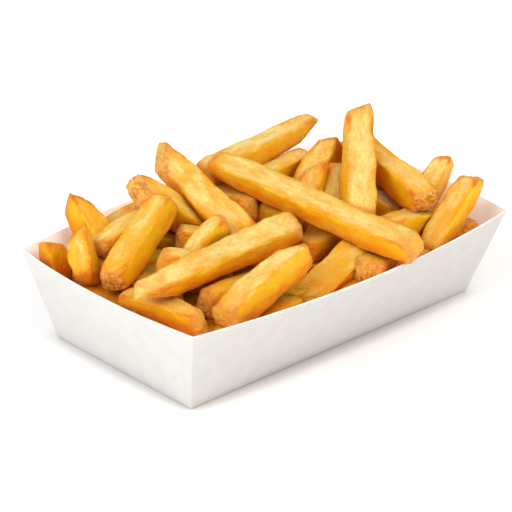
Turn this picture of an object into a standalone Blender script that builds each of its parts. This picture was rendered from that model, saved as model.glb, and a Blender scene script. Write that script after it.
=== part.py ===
"""Thick-cut fries heaped in an open, flared paperboard tray.

The tray is one piece of folded board on a flat base. Its long and short walls
lean outwards, and bow outwards too where the fries press on them. The heap is
one solid out to its uneven outline: a core that fills the tray, and fries
cut one by one and joined to it.

Metres, +Z up. The origin is the middle of the tray's underside, +X runs along
the tray and +Y across it. Fries are placed in millimetres and turned to metres
by MM.
"""

import math
import random
from typing import NamedTuple

import bmesh
import bpy
from mathutils import Vector

MM = 0.001

# Tray, in metres
BASE_LENGTH = 0.160
BASE_WIDTH = 0.080
RIM_LENGTH = 0.180
RIM_WIDTH = 0.102
TRAY_HEIGHT = 0.0387
LONG_WALL_BOW = 0.0085
SHORT_WALL_BOW = 0.0045
BOARD = 0.0008
FOLD_RADIUS = 0.0016
WALL_CUTS_ACROSS = 13
WALL_CUTS_UP = 3

# Heap, in metres
CLEARANCE = 0.0003
CORE_INSET = 0.0009
CORE_TOP = 0.0260
CORE_DOME = 0.0120
CUTTER_REACH = 0.020
CUTTER_RISE = 0.0010

# Fries, in millimetres
FRY_CHAMFER = 1.2
DEEP_ROWS = 7
DEEP_ROW_PITCH = 13.0
DEEP_SIDE = 38.0
DEEP_LEVEL = 24.5
DEEP_THICKNESS = 12.0
DEEP_HALF_SPAN = 37.0
DEEP_SEED = 5


class Cut(NamedTuple):
    """A flat cut across a fry's end. side, up and out give the way it faces,
    out being along the fry, and reach how far it stands beyond the end."""

    side: float
    up: float
    out: float
    reach: float = 0.0


class Fry(NamedTuple):
    """A fry from start to end, in millimetres, with its width and depth at
    both ends, its roll in degrees, and the cuts that shape its ends."""

    start: tuple
    end: tuple
    width: tuple
    depth: tuple
    roll: float = 0.0
    start_cuts: list = []
    end_cuts: list = []


# The fries that lie on top, from the left of the tray to its right
TOP_FRIES = [
    Fry((-96.9, -20.1, 44.6), (-1.5, -16, 47), (10.5, 12.6), (8, 9.5), 14,
        start_cuts=[Cut(-1, 0.3, 0.7, -1.2), Cut(0, -1, 0.33, -3.7)],
        end_cuts=[Cut(0.9, 0.8, 0.9, 2.2)]),
    Fry((-5, 30, 61), (22, -62, 44.6), (12, 13.6), (7.5, 9), 12,
        start_cuts=[Cut(0, -0.4, 1, -1)],
        end_cuts=[Cut(-0.15, 0.95, 1, 0), Cut(0, 0, 1, -1)]),
    Fry((60, 10, 74), (23, -27, 46), (12.5, 13.5), (10.8, 11.5), -15,
        start_cuts=[Cut(0.6, 0.1, 1, -2.4), Cut(0.9, -0.2, 0.3, 2.5), Cut(-0.9, 0, 0.25, 4)]),
    Fry((-22, 52.6, 65.8), (-22, -10, 45), (12.3, 14), (10.5, 10.5), 27,
        start_cuts=[Cut(1, 0.95, 1, -6.2)]),
    Fry((-83.5, 3.5, 39), (-41, 18, 58.5), (11.5, 10), (10.7, 10.7), -6,
        start_cuts=[Cut(0.15, -0.1, 1, -0.5)],
        end_cuts=[Cut(0, 0.26, 1, -0.8)]),
    Fry((-62, 55.6, 54), (-59.5, 27.3, 31), (9, 14), (10.5, 12), -5,
        start_cuts=[Cut(-0.95, -0.15, 1, -4.2), Cut(0.3, -0.6, 1, -2.2)]),
    Fry((-75, 32.9, 50.8), (-85, 15.9, 34.8), (10, 9.5), (11, 11.5), 30,
        start_cuts=[Cut(0.63, -0.84, 1, -5.4)],
        end_cuts=[Cut(0.3, 0.3, 1, 0)]),
    Fry((-82.2, 44.3, 46.5), (-78.5, 36.9, 20.1), (11, 12), (7.5, 9), 20,
        start_cuts=[Cut(-0.55, -0.15, 1, -4.1)]),
    Fry((-48.9, 33.8, 61.3), (-24, 12, 41), (12, 12), (10.3, 11), 10,
        start_cuts=[Cut(0.67, 0.06, 1, -3.5)]),
    Fry((-7, 33, 53), (58.5, 36, 56), (12, 8), (10, 8.5), 0,
        end_cuts=[Cut(0, -1, 0.34, -2.8), Cut(0, 0, 1, -0.5)]),
    Fry((51, 15, 60), (27, 8, 43), (10, 13), (12, 12), 0, start_cuts=[Cut(0.45, 0.1, 1, -1.2)]),
    Fry((33, 4, 61), (20, -1, 47), (9, 12), (10, 12), 0, start_cuts=[Cut(0.9, -0.1, 1, -4.3)]),
    Fry((61, 11, 57.1), (53, -39, 48), (9.5, 12.3), (12, 11.5), 7,
        end_cuts=[Cut(0.1, -0.2, 1, -1.5)]),
    Fry((62, -26, 39), (83, -20.6, 54.8), (10.5, 9.5), (9, 8), 0, end_cuts=[Cut(-0.5, 0, 1, -1)]),
    Fry((47, -46, 30), (79, -41.1, 56.2), (12, 9.8), (10.5, 8.5), 0,
        end_cuts=[Cut(-0.25, 0.3, 1, -2.2)]),
    Fry((-51.5, -7, 43), (-30, -4.5, 53.5), (9, 9.5), (9, 9), -8,
        end_cuts=[Cut(0.3, -0.1, 1, -0.5), Cut(-0.6, 0, 1, 0.5)]),
    Fry((-80.5, -1.5, 32), (-73.2, -39.5, 33.5), (11, 10), (12, 12), 0,
        end_cuts=[Cut(-0.3, 0.35, 1, -0.8)]),
    Fry((-67, -43, 35), (-20, -38, 49), (12.5, 11), (12, 11.5), -5,
        start_cuts=[Cut(0.2, 0.2, 1, -0.5)],
        end_cuts=[Cut(-1, 0.1, 0.9, -2)]),
    Fry((-24, -43, 26), (17, -36, 40), (13.5, 13), (10, 10), 15),
]

# Those that show between and under them
MIDDLE_FRIES = [
    Fry((-71, 25, 42), (-46, 24, 50), (10, 10), (9, 9), 0, start_cuts=[Cut(0, 0, 1, -0.5)]),
    Fry((-52, 31.5, 45), (-18, 35, 44.5), (11, 11), (10, 10), 0, start_cuts=[Cut(-0.5, 0.3, 1, 0)]),
    Fry((-3, 31, 45), (-5.2, 6, 46.5), (11, 11), (11, 11)),
    Fry((3, 9, 43), (13, -8, 40), (11, 11), (11, 11)),
    Fry((14, 22, 48), (47, 26, 49), (10, 10), (9, 9)),
    Fry((41, 1, 55), (26, -9, 43), (10, 10), (10, 10)),
    Fry((76, -45, 33), (65, -43, 30), (10, 10), (10, 10)),
    Fry((29, -36, 43), (64, -33, 36), (11, 11), (10, 10)),
    Fry((47, -5, 43), (54, -21, 36), (11, 11), (10, 10)),
    Fry((-41, 12, 43), (-30, -3, 41), (11, 11), (11, 11)),
    Fry((-64, -3, 45), (-49, -15, 40), (11, 11), (11, 11)),
    Fry((-64.5, -29, 36), (-30, -27, 34), (11, 11), (11, 11), 0,
        start_cuts=[Cut(-0.2, 0.3, 1, -0.5)]),
    Fry((12, -43.5, 31), (28, -28.5, 35), (11, 11), (10.5, 10.5)),
    Fry((20, -30, 31), (24.5, -46, 31), (10, 10), (10, 10)),
    Fry((-2, -20, 37), (27, -19, 38), (11, 11), (10, 10)),
]

# Along the back wall, at the right end, and across the gaps
BACK_FRIES = [
    Fry((-80, 41, 23), (-35, 43, 26), (12, 12), (11, 11)),
    Fry((-46, 48, 33), (6, 50, 39), (12, 12), (11, 11), 5),
    Fry((14, 44, 46), (64, 47, 34), (12, 12), (11, 11), -5),
    Fry((24, 47.5, 30.5), (72, 41, 26), (12, 12), (11, 11)),
    Fry((48, 26, 44), (82, 19, 46), (12, 12), (11, 11), 10),
    Fry((82, 4, 35), (77, 33, 34), (12, 12), (11, 11)),
    Fry((85, -13, 36), (62, 11, 42), (11, 11), (11, 11)),
    Fry((14, 33, 41), (52, 33, 39), (12, 12), (11, 11)),
    Fry((-72, 10, 33), (-36, -14, 33), (11, 11), (11, 11)),
    Fry((-18, -14, 36), (-42, 30, 35), (11, 11), (11, 11)),
    Fry((20, 18, 38), (38, -14, 35), (11, 11), (11, 11)),
    Fry((44, 14, 43), (72, -14, 37), (11, 11), (11, 11)),
    Fry((-66, -16, 30), (-72, 30, 33), (11, 11), (11, 11)),
]


def clear_scene():
    """Removes every object of the scene."""
    for obj in list(bpy.data.objects):
        bpy.data.objects.remove(obj, do_unlink=True)


def new_collection(name):
    """Returns a new collection, linked to the scene."""
    made = bpy.data.collections.new(name)
    bpy.context.scene.collection.children.link(made)
    return made


def new_material(name, colour, roughness):
    """Returns a Principled material of one colour."""
    material = bpy.data.materials.new(name)
    material.use_nodes = True
    shader = material.node_tree.nodes["Principled BSDF"]
    shader.inputs["Base Color"].default_value = (*colour, 1.0)
    shader.inputs["Roughness"].default_value = roughness
    shader.inputs["Metallic"].default_value = 0.0
    return material


def new_object(name, bm, collection):
    """Turns bm into an object called name in the collection, and frees bm."""
    mesh = bpy.data.meshes.new(name)
    bm.to_mesh(mesh)
    bm.free()
    obj = bpy.data.objects.new(name, mesh)
    collection.objects.link(obj)
    return obj


def as_helper(obj):
    """Marks obj as a cutter, which is neither rendered nor part of the model."""
    obj.hide_render = True
    obj.display_type = "WIRE"
    return obj


def flare(x, y, level, inset):
    """Places a point of a unit square at a level of the flared, bowed tray.

    x and y run from -1 to 1, level is a height in metres, and inset draws the
    outline in from the tray's outer face.
    """
    share = level / TRAY_HEIGHT
    half_length = (BASE_LENGTH + (RIM_LENGTH - BASE_LENGTH) * share) / 2 - inset
    half_width = (BASE_WIDTH + (RIM_WIDTH - BASE_WIDTH) * share) / 2 - inset
    bow = max(share, 0.0)
    px = x * (half_length + SHORT_WALL_BOW * bow * (1 - y * y))
    py = y * (half_width + LONG_WALL_BOW * bow * (1 - x * x))
    return Vector((px, py, level))


def gridded_cube(cuts_across, cuts_up):
    """Returns a cube from -1 to 1, cut across all ways and then upwards."""
    bm = bmesh.new()
    bmesh.ops.create_cube(bm, size=2.0)
    upright = [e for e in bm.edges if abs(e.verts[0].co.z - e.verts[1].co.z) > 1]
    level = [e for e in bm.edges if e not in upright]
    bmesh.ops.subdivide_edges(bm, edges=level, cuts=cuts_across, use_grid_fill=True)
    upright = [e for e in bm.edges if abs(e.verts[0].co.z - e.verts[1].co.z) > 1]
    bmesh.ops.subdivide_edges(bm, edges=upright, cuts=cuts_up, use_grid_fill=True)
    return bm


def make_carton(collection):
    """The folded tray: an open shell of board, with small folds at its edges."""
    bm = gridded_cube(WALL_CUTS_ACROSS, WALL_CUTS_UP)
    lid = [f for f in bm.faces if f.normal.z > 0.5]
    bmesh.ops.delete(bm, geom=lid, context="FACES")
    for vert in bm.verts:
        level = (vert.co.z + 1) / 2 * TRAY_HEIGHT
        vert.co = flare(vert.co.x, vert.co.y, level, 0.0)
    floor = [f for f in bm.faces if f.normal.z < -0.99]
    bmesh.ops.dissolve_faces(bm, faces=floor)
    folds = [e for e in bm.edges if e.is_manifold and e.calc_face_angle() > math.radians(30)]
    bmesh.ops.bevel(bm, geom=folds, offset=FOLD_RADIUS, segments=2, profile=0.5, affect="EDGES")
    carton = new_object("carton", bm, collection)
    board = carton.modifiers.new("board", "SOLIDIFY")
    board.thickness = BOARD
    board.offset = -1.0
    board.use_even_offset = True
    carton.data.materials.append(new_material("white_board", (0.90, 0.89, 0.87), 0.6))
    return carton


def make_wall_cutter(collection):
    """A thick ring that stands where the walls are and outside them."""
    top = TRAY_HEIGHT + CUTTER_RISE
    bm = gridded_cube(WALL_CUTS_ACROSS, 1)
    caps = [f for f in bm.faces if abs(f.normal.z) > 0.5]
    bmesh.ops.delete(bm, geom=caps, context="FACES")
    for vert in bm.verts:
        level = top if vert.co.z > 0 else -BOARD
        if abs(vert.co.z) < 0.5:
            level = (top - BOARD) / 2
        vert.co = flare(vert.co.x, vert.co.y, level, BOARD + CLEARANCE)
    ring = as_helper(new_object("wall_cutter", bm, collection))
    thick = ring.modifiers.new("reach", "SOLIDIFY")
    thick.thickness = CUTTER_REACH
    thick.offset = 1.0
    return ring


def core_height(x, y):
    """The core's top above a point of the unit square: a low, uneven dome."""
    dome = CORE_DOME * (1 - x * x) * (1 - y * y)
    waves = 0.0012 * math.sin(9 * x + 2) * math.cos(7 * y)
    return CORE_TOP + dome + waves


def make_core():
    """The filling under the fries, just clear of the floor and the walls."""
    bm = gridded_cube(7, 1)
    bottom = BOARD + CLEARANCE
    for vert in bm.verts:
        top = core_height(vert.co.x, vert.co.y)
        level = bottom + (vert.co.z + 1) / 2 * (top - bottom)
        vert.co = flare(vert.co.x, vert.co.y, level, BOARD + CORE_INSET)
    bmesh.ops.triangulate(bm, faces=bm.faces)
    return bm


def fry_frame(fry):
    """Returns a fry's start, its length, and its axis, side and up directions."""
    start = Vector(fry.start)
    axis = Vector(fry.end) - start
    length = axis.length
    axis.normalize()
    level_side = axis.cross(Vector((0, 0, 1))).normalized()
    level_up = level_side.cross(axis)
    roll = math.radians(fry.roll)
    side = level_side * math.cos(roll) - level_up * math.sin(roll)
    up = level_up * math.cos(roll) + level_side * math.sin(roll)
    return start, length, axis, side, up


def cut_end(bm, point, facing, cut):
    """Cuts the bar off flat at its end, and closes it again.

    facing holds the side, up and outward directions at the end at point.
    """
    side, up, out = facing
    normal = (side * cut.side + up * cut.up + out * cut.out).normalized()
    whole = bm.verts[:] + bm.edges[:] + bm.faces[:]
    bmesh.ops.bisect_plane(
        bm, geom=whole, plane_co=point + normal * cut.reach, plane_no=normal,
        clear_outer=True,
    )
    rim = [e for e in bm.edges if e.is_boundary]
    bmesh.ops.edgeloop_fill(bm, edges=rim)


def make_fry(fry):
    """Makes one fry: a tapered bar with softened long edges and cut ends."""
    start, length, axis, side, up = fry_frame(fry)
    bm = bmesh.new()
    bmesh.ops.create_cube(bm, size=1.0)
    for vert in bm.verts:
        place = vert.co.z + 0.5
        width = fry.width[0] + (fry.width[1] - fry.width[0]) * place
        depth = fry.depth[0] + (fry.depth[1] - fry.depth[0]) * place
        across = side * (vert.co.x * width) + up * (vert.co.y * depth)
        vert.co = start + axis * (place * length) + across
    long_edges = [e for e in bm.edges if e.calc_length() > length * 0.9]
    bmesh.ops.bevel(
        bm, geom=long_edges, offset=FRY_CHAMFER, segments=1, profile=0.5, affect="EDGES",
    )
    for cut in fry.start_cuts:
        cut_end(bm, start, (side, up, -axis), cut)
    for cut in fry.end_cuts:
        cut_end(bm, start + axis * length, (side, up, axis), cut)
    bmesh.ops.recalc_face_normals(bm, faces=bm.faces)
    bmesh.ops.scale(bm, vec=(MM, MM, MM), verts=bm.verts)
    return bm


def deep_fries():
    """The fries that lie along the tray under the rest, row by row."""
    dice = random.Random(DEEP_SEED)
    made = []
    for row in range(DEEP_ROWS):
        for end in (-1, 1):
            middle_x = end * DEEP_SIDE + dice.uniform(-4, 4)
            middle_y = (row - (DEEP_ROWS - 1) / 2) * DEEP_ROW_PITCH
            heading = math.radians(dice.uniform(-9, 9))
            half = dice.uniform(31, 36)
            level = DEEP_LEVEL + dice.uniform(-2, 2)
            rise = dice.uniform(-3, 3)
            run = Vector((math.cos(heading) * half, math.sin(heading) * half))
            ends = []
            for sign in (-1, 1):
                y = middle_y + sign * run.y
                y = max(-DEEP_HALF_SPAN, min(DEEP_HALF_SPAN, y))
                ends.append((middle_x + sign * run.x, y, level + sign * rise))
            size = (DEEP_THICKNESS, DEEP_THICKNESS)
            made.append(Fry(ends[0], ends[1], size, size))
    return made


def largest_island(mesh):
    """Keeps only the outer skin of a joined mesh, and returns it as a bmesh."""
    bm = bmesh.new()
    bm.from_mesh(mesh)
    bmesh.ops.remove_doubles(bm, verts=bm.verts, dist=0.00002)
    bmesh.ops.triangulate(bm, faces=bm.faces)
    left = set(bm.faces)
    islands = []
    while left:
        island = []
        queue = [left.pop()]
        while queue:
            face = queue.pop()
            island.append(face)
            for edge in face.edges:
                for other in edge.link_faces:
                    if other in left:
                        left.remove(other)
                        queue.append(other)
        islands.append(island)
    islands.sort(key=len, reverse=True)
    stray = [face for island in islands[1:] for face in island]
    bmesh.ops.delete(bm, geom=stray, context="FACES")
    return bm


def make_heap(collection, helpers):
    """The fries and their core as one solid, cut clear of the tray's walls."""
    fries = bpy.data.collections.new("fries")
    helpers.children.link(fries)
    for number, fry in enumerate(TOP_FRIES + MIDDLE_FRIES + BACK_FRIES + deep_fries()):
        as_helper(new_object(f"fry_{number:02d}", make_fry(fry), fries))
    core = as_helper(new_object("core", make_core(), helpers))
    join = core.modifiers.new("join", "BOOLEAN")
    join.operation = "UNION"
    join.operand_type = "COLLECTION"
    join.collection = fries
    join.solver = "EXACT"
    clear = core.modifiers.new("clear", "BOOLEAN")
    clear.operation = "DIFFERENCE"
    clear.object = make_wall_cutter(helpers)
    clear.solver = "EXACT"
    bpy.context.view_layer.update()
    graph = bpy.context.evaluated_depsgraph_get()
    joined = bpy.data.meshes.new_from_object(core.evaluated_get(graph))
    heap = new_object("fries_heap", largest_island(joined), collection)
    heap.data.materials.clear()
    heap.data.materials.append(new_material("fried_potato", (0.85, 0.50, 0.10), 0.5))
    return heap


def main():
    """Builds the tray and its heap of fries."""
    clear_scene()
    parts = new_collection("fries_in_carton")
    helpers = new_collection("helpers")
    make_carton(parts)
    make_heap(parts, helpers)


main()
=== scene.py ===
"""Thick-cut fries heaped in a white paperboard tray, with their finished looks.

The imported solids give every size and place. The tray is made again with
a finer shell, and the heap's single solid is replaced by its fries, each one
cut, softened and given a crust of its own, over a smaller core.

Fries are laid out in millimetres, and MM turns them to metres.
"""

from __future__ import annotations

import logging
import math
import random
from dataclasses import dataclass, replace
from enum import Enum
from functools import partial
from typing import Callable

import bmesh
import bpy
import numpy as np
from bpy.types import Material, Mesh, NodeTree, Object
from mathutils import Matrix, Vector, noise


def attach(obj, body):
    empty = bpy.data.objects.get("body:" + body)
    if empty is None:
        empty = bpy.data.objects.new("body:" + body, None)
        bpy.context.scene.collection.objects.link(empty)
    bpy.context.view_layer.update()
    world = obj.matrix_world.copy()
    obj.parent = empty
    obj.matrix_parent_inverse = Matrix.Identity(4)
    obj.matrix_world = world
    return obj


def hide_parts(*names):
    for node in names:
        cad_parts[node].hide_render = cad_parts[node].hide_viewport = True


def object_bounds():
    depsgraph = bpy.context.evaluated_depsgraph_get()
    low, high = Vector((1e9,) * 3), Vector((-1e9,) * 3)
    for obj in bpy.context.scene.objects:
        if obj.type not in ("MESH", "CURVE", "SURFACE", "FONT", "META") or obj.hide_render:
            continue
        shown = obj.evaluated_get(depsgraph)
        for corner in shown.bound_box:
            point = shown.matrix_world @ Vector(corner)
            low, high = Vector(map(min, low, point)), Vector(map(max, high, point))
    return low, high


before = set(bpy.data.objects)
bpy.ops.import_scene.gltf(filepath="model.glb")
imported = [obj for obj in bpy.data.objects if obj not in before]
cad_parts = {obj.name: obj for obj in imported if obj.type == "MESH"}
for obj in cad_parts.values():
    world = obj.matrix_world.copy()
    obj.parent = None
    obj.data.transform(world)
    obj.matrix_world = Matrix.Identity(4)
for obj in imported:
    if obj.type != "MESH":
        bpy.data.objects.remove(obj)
CAD_BOX = [list(corner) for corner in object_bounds()]

MM = 0.001
BODY = "root"
NOISE_SEED = 3
LOG = logging.getLogger("fries")

# Values that each fry's mesh carries for its crust; three of them place painted light and shade: how
# far a point faces the key light, how low it lies on its fry, and how deep it lies in the heap
FRY_VALUES = ("crisp", "edge", "rim", "painted_light_face", "low", "tone", "buried")

Socket = bpy.types.NodeSocket
Put = Callable[..., Socket]
Array = np.ndarray
Pair = tuple[float, float]
# A place, or a colour
Triple = tuple[float, float, float]


# -------------------- materials

# Numbered inputs: a mix has its share at 0 and its colours at 6 and 7
MATH = "ShaderNodeMath"
MULTIPLY = {"operation": "MULTIPLY"}
MULTIPLY_ADD = {"operation": "MULTIPLY_ADD"}
CLAMPED = {"use_clamp": True}
MIX = "ShaderNodeMix"
MIX_COLOURS = {"data_type": "RGBA", "output": 2}
RANGE = "ShaderNodeMapRange"
NOISE = "ShaderNodeTexNoise"
CELLS = "ShaderNodeTexVoronoi"
ATTRIBUTE = "ShaderNodeAttribute"
COORDINATES = "ShaderNodeTexCoord"
OCCLUSION = "ShaderNodeAmbientOcclusion"
BUMP = "ShaderNodeBump"
SURFACE = "ShaderNodeBsdfPrincipled"
OUTPUT = "ShaderNodeOutputMaterial"


def linear(hex_colour: str) -> tuple[float, float, float, float]:
    """Turns an sRGB hex colour to the linear one that shaders take.

    Args:
        hex_colour: Six hex digits after a hash sign.

    Returns:
        Red, green, blue and an alpha of one.
    """
    channels = []
    for at in (1, 3, 5):
        value = int(hex_colour[at:at + 2], 16) / 255
        channels.append(value / 12.92 if value <= 0.04045 else ((value + 0.055) / 1.055) ** 2.4)
    return (*channels, 1.0)


def add_node(tree: NodeTree, kind: str, sockets: dict | None = None,
             output: int | str = 0, stops: tuple = (), **settings: object) -> Socket | None:
    """Adds a node, with its settings, and fills or links its input sockets.

    Args:
        tree: The node tree that takes the node.
        kind: The node's type, such as ShaderNodeMix.
        sockets: Values or output sockets, by the name or index of the input.
        output: The name or index of the output to return.
        stops: A ramp's stops, each one a place and a colour.
        settings: Properties of the node.

    Returns:
        That output, or None where the node has none.
    """
    node = tree.nodes.new(kind)
    for name, value in settings.items():
        setattr(node, name, value)
    for number, (place, colour) in enumerate(stops):
        ramp = node.color_ramp.elements
        stop = ramp.new(place) if number else ramp[0]
        stop.position = place
        stop.color = colour
    if stops:
        node.color_ramp.elements.remove(node.color_ramp.elements[-1])
    for name, value in (sockets or {}).items():
        if isinstance(value, Socket):
            tree.links.new(value, node.inputs[name])
        else:
            node.inputs[name].default_value = value
    return node.outputs[output] if node.outputs else None


def new_material(name: str) -> tuple[Material, Put]:
    """Makes an empty node material.

    Args:
        name: The material's name.

    Returns:
        The material, and add_node bound to its cleared tree.
    """
    material = bpy.data.materials.new(name)
    material.use_nodes = True
    material.node_tree.nodes.clear()
    return material, partial(add_node, material.node_tree)


@dataclass(frozen=True)
class CrustFields:
    """What the crust's layers share: the fries' own values, then patterns."""

    crisp: Socket
    edge: Socket
    rim: Socket
    painted_light_face: Socket
    low: Socket
    tone: Socket
    buried: Socket
    place: Socket
    patches: Socket
    patchy: Socket
    fine: Socket
    veins: Socket
    creases: Socket


@dataclass(frozen=True)
class FriedCrust:
    """Potato cut into bars and fried in oil.

    The crust is thin and dry. Faces turned towards the key light are painted pale,
    a painted light, and golden towards their edges; the sides are amber, moist and
    letting light through, and painted darker amber low on each fry and deep in the
    heap, a painted shade, as are the nooks between the fries. Edges brown first, and
    the ends turn rough and pitted. Sizes are in millimetres.
    """

    name: str = "fried_potato_crust"
    # Pale of the faces turned towards the key light, a painted light
    painted_light_pale: str = "#FFE08A"
    golden: str = "#F7AC26"
    yellow: str = "#FFC416"
    amber: str = "#FFB80A"
    # Darkest amber, low on each fry's sides and deep in the heap, a painted shade
    painted_shade_amber: str = "#F89208"
    # Painted shade of the nooks between the fries and of fries deep in the heap
    painted_nook_shade: str = "#9E3502"
    edge: str = "#D87A10"
    end_tan: str = "#F4BC62"
    end_brown: str = "#B9641A"
    vein: str = "#E39A26"
    speck: str = "#8A6A18"
    patch_size: float = 5.0
    streak: float = 0.45
    vein_size: float = 3.6
    vein_width: float = 0.04
    wrinkle_size: float = 1.3
    crease_width: float = 0.07
    speck_spacing: float = 2.6
    specked_cells: float = 0.5
    blister_size: float = 1.9
    nook_size: float = 12.0
    relief: float = 0.52
    light_depth: float = 7.0

    def fields(self, put: Put) -> CrustFields:
        """Reads the fries' values and lays out the patterns.

        Args:
            put: Adds a node.

        Returns:
            The sockets that the layers share.
        """
        own = [put(ATTRIBUTE, output="Fac", attribute_name=name) for name in FRY_VALUES]
        place = put(ATTRIBUTE, output="Vector", attribute_name="grain")
        streaky = put("ShaderNodeMapping", {"Vector": place, "Scale": (1.0, 1.0, self.streak)})
        patches, fine, winding = (
            put(NOISE, {"Vector": streaky, "Scale": 1 / size, "Detail": detail,
                        "Roughness": roughness, "Distortion": distortion})
            for size, detail, roughness, distortion in (
                (self.patch_size, 5.0, 0.6, 0.0), (self.wrinkle_size, 3.0, 0.5, 0.6),
                (self.vein_size, 1.5, 0.5, 1.0)))
        lines = []
        for field, level, width in ((winding, 0.5, self.vein_width), (fine, 0.47, self.crease_width)):
            off = put(MATH, {0: field, 1: level}, operation="SUBTRACT")
            off = put(MATH, {0: off}, operation="ABSOLUTE")
            lines.append(put(RANGE, {"Value": off, "From Min": width, "From Max": 0.0},
                             interpolation_type="SMOOTHSTEP"))
        patchy = put(MATH, {0: patches, 1: 0.5}, operation="SUBTRACT")
        return CrustFields(*own, place, patches, patchy, fine, *lines)

    def face_colour(self, put: Put, on: CrustFields) -> Socket:
        """Paints faces turned towards the key light pale to golden, a painted light, and sides yellow
        to amber, darker low down and deep in the heap, a painted shade.

        Args:
            put: Adds a node.
            on: The shared sockets.

        Returns:
            The colour.
        """
        # Faces turned towards the key light, a painted light: pale in the middle, golden towards their
        # edges
        warmth = put(MATH, {0: on.tone, 1: 0.34}, operation="ADD")
        warmth = put(MATH, {0: on.patchy, 1: 3.6, 2: warmth}, **MULTIPLY_ADD)
        warmth = put(MATH, {0: on.rim, 1: 0.7, 2: warmth}, **MULTIPLY_ADD, **CLAMPED)
        painted_light_pale = put(MIX, {0: warmth, 6: linear(self.painted_light_pale), 7: linear(self.golden)}, **MIX_COLOURS)
        for lines, share, colour in ((on.veins, 0.30, self.vein), (on.creases, 0.34, self.golden)):
            share = put(MATH, {0: lines, 1: share}, **MULTIPLY)
            painted_light_pale = put(MIX, {0: share, 6: painted_light_pale, 7: linear(colour)}, **MIX_COLOURS)
        # Sides: moist and clear, yellow above, and amber below and deep in the heap, a painted shade
        depth = put(MATH, {0: on.patchy, 1: 1.2, 2: on.low}, **MULTIPLY_ADD)
        deep = put(MATH, {0: on.buried, 1: 1.6, 2: -0.8}, **MULTIPLY_ADD, **CLAMPED)
        depth = put(MATH, {0: depth, 1: deep}, operation="ADD", **CLAMPED)
        amber = put("ShaderNodeValToRGB", {"Fac": depth}, stops=(
            (0.15, linear(self.yellow)), (0.5, linear(self.amber)), (0.95, linear(self.painted_shade_amber))))
        # Painted light: faces turned towards the key light take the pale colour, less so on dark fries
        # and deep in the heap, where painted shade takes over
        painted_light_share = put(MATH, {0: on.patchy, 1: -0.6, 2: on.painted_light_face}, **MULTIPLY_ADD)
        painted_light_share = put(MATH, {0: on.tone, 1: -0.5, 2: painted_light_share}, **MULTIPLY_ADD)
        painted_light_share = put(MATH, {0: on.buried, 1: -0.8, 2: painted_light_share}, **MULTIPLY_ADD, **CLAMPED)
        return put(MIX, {0: painted_light_share, 6: amber, 7: painted_light_pale}, **MIX_COLOURS)

    def specked(self, put: Put, on: CrustFields, crust: Socket) -> Socket:
        """Adds small browned dots, in some cells only.

        Args:
            put: Adds a node.
            on: The shared sockets.
            crust: The colour so far.

        Returns:
            The colour with its specks.
        """
        dots = put(CELLS, {"Vector": on.place, "Scale": 1 / self.speck_spacing})
        near = put(RANGE, {"Value": dots, "From Min": 0.14, "From Max": 0.06, "To Max": 0.42})
        picked = put("ShaderNodeSeparateColor", {0: dots.node.outputs["Color"]})
        picked = put(MATH, {0: picked, 1: self.specked_cells}, operation="GREATER_THAN")
        specks = put(MATH, {0: near, 1: picked}, **MULTIPLY)
        return put(MIX, {0: specks, 6: crust, 7: linear(self.speck)}, **MIX_COLOURS)

    def browned(self, put: Put, on: CrustFields, crust: Socket) -> Socket:
        """Paints shade into nooks and deep in the heap, browns the edges and toasts the ends.

        Args:
            put: Adds a node.
            on: The shared sockets.
            crust: The colour so far.

        Returns:
            The colour of the finished crust.
        """
        # Nooks between the fries, and fries deep in the heap: painted shade, darker and redder where
        # the occlusion test finds other surfaces close
        nook = put(OCCLUSION, {"Distance": self.nook_size * MM}, output="AO", samples=4)
        shade = put(RANGE, {"Value": nook, "From Min": 0.42, "From Max": 0.06})
        shade = put(MATH, {0: on.buried, 1: 0.30, 2: shade}, **MULTIPLY_ADD, **CLAMPED)
        crust = put(MIX, {0: shade, 6: crust, 7: linear(self.painted_nook_shade)}, **MIX_COLOURS)
        # Edges: broken by the fine wrinkles
        broken = put(MATH, {0: on.patchy, 1: 1.8, 2: on.fine}, **MULTIPLY_ADD)
        broken = put(MATH, {0: on.edge, 1: broken}, **MULTIPLY)
        browning = put(RANGE, {"Value": broken, "From Min": 0.14, "From Max": 0.55})
        crust = put(MIX, {0: browning, 6: crust, 7: linear(self.edge)}, **MIX_COLOURS)
        # Ends: tan, with brown in the relief's hollows, partly real browning and partly painted shade;
        # more of them on dark fries
        hollows = put(MATH, {0: on.fine, 1: on.patchy}, operation="ADD")
        hollows = put(MATH, {0: on.tone, 1: -0.55, 2: hollows}, **MULTIPLY_ADD)
        hollows = put(RANGE, {"Value": hollows, "From Min": 0.30, "From Max": 0.50})
        end = put(MIX, {0: hollows, 6: linear(self.end_brown), 7: linear(self.end_tan)}, **MIX_COLOURS)
        share = put(MATH, {0: on.crisp, 1: 0.9}, **MULTIPLY)
        return put(MIX, {0: share, 6: crust, 7: end}, **MIX_COLOURS)

    def bumps(self, put: Put, on: CrustFields) -> Socket:
        """Wrinkles the crust, sinks its veins and blisters its ends.

        Args:
            put: Adds a node.
            on: The shared sockets.

        Returns:
            The bumped normal.
        """
        blisters = put(CELLS, {"Vector": on.place, "Scale": 1 / self.blister_size},
                       feature="SMOOTH_F1")
        blisters = put(MATH, {0: blisters, 1: on.crisp}, **MULTIPLY)
        height = on.fine
        for layer, amount in ((on.veins, -0.35), (on.creases, -0.25), (blisters, 1.2)):
            height = put(MATH, {0: layer, 1: amount, 2: height}, **MULTIPLY_ADD)
        return put(BUMP, {"Height": height, "Strength": 0.9, "Distance": self.relief * MM})

    def material(self) -> Material:
        """Builds the crust: its colour in layers, a film of oil, and relief."""
        material, put = new_material(self.name)
        on = self.fields(put)
        crust = self.face_colour(put, on)
        crust = self.browned(put, on, self.specked(put, on, crust))
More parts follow.
